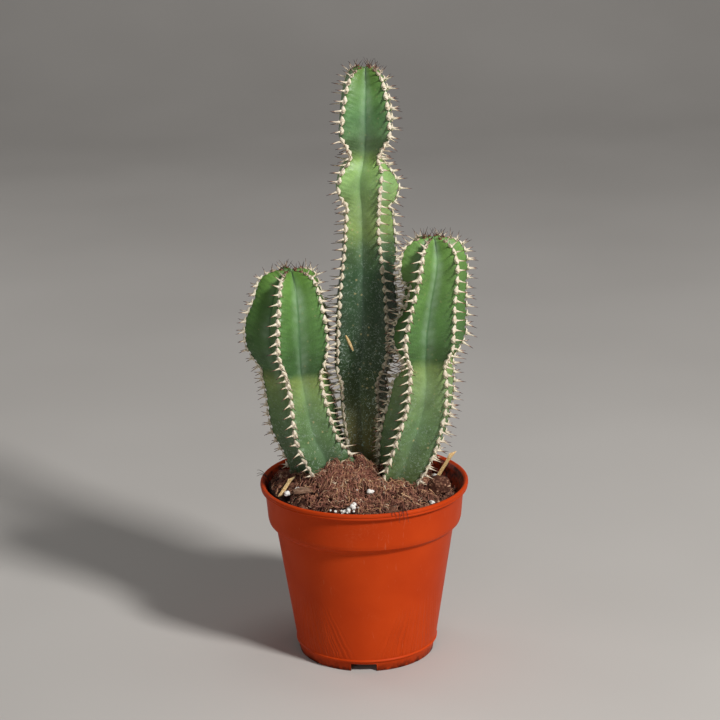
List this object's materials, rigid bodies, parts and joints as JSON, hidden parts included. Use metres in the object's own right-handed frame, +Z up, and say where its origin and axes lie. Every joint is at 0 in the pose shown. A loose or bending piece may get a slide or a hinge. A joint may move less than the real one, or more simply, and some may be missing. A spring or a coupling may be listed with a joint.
{
  "type": "potted euphorbia",
  "caption": "Upright ribbed succulent euphorbia stems with spiny pale rib margins, rooted in brown soil in a round tapered plastic nursery pot with a rolled rim.",
  "frame": {"origin": "on the pot's axis, at the level that its foot stands on", "axes": "+Z up along the pot's axis, +X to the right and -Y to the front, the side with the shorter stems either side of the tall one"},
  "size_m": [0.1345, 0.12, 0.3433],
  "materials": {
    "terracotta_plastic": "satin moulded polypropylene, terracotta orange",
    "peat_and_coir": "matt, fibrous peat and coir",
    "stem_skin": "waxy plant skin, mid to blue-green",
    "horny_margin": "dry horny spine shields, cream with dark spine tips",
    "perlite": "matt, porous, off-white",
    "bark": "rough dry bark",
    "dry_stalk": "dry straw, slightly shiny"
  },
  "bodies": {
    "root": {"pot": "terracotta_plastic", "soil": "peat_and_coir", "centre_stem": "stem_skin", "left_stem": "stem_skin", "right_stem": "stem_skin", "centre_stem_spine_row_1": "horny_margin", "centre_stem_spine_row_2": "horny_margin", "centre_stem_spine_row_3": "horny_margin", "centre_stem_spine_row_4": "horny_margin", "centre_stem_spine_row_5": "horny_margin", "left_stem_spine_row_1": "horny_margin", "left_stem_spine_row_2": "horny_margin", "left_stem_spine_row_3": "horny_margin", "left_stem_spine_row_4": "horny_margin", "left_stem_spine_row_5": "horny_margin", "right_stem_spine_row_1": "horny_margin", "right_stem_spine_row_2": "horny_margin", "right_stem_spine_row_3": "horny_margin", "right_stem_spine_row_4": "horny_margin", "right_stem_spine_row_5": "horny_margin", "right_stem_spine_row_6": "horny_margin", "perlite_1": "perlite", "perlite_2": "perlite", "perlite_3": "perlite", "perlite_4": "perlite", "perlite_5": "perlite", "perlite_6": "perlite", "soil_clod": "peat_and_coir", "bark_chip": "bark", "flat_straw": "dry_stalk", "upright_straw": "dry_stalk"}
  },
  "joints": []
}
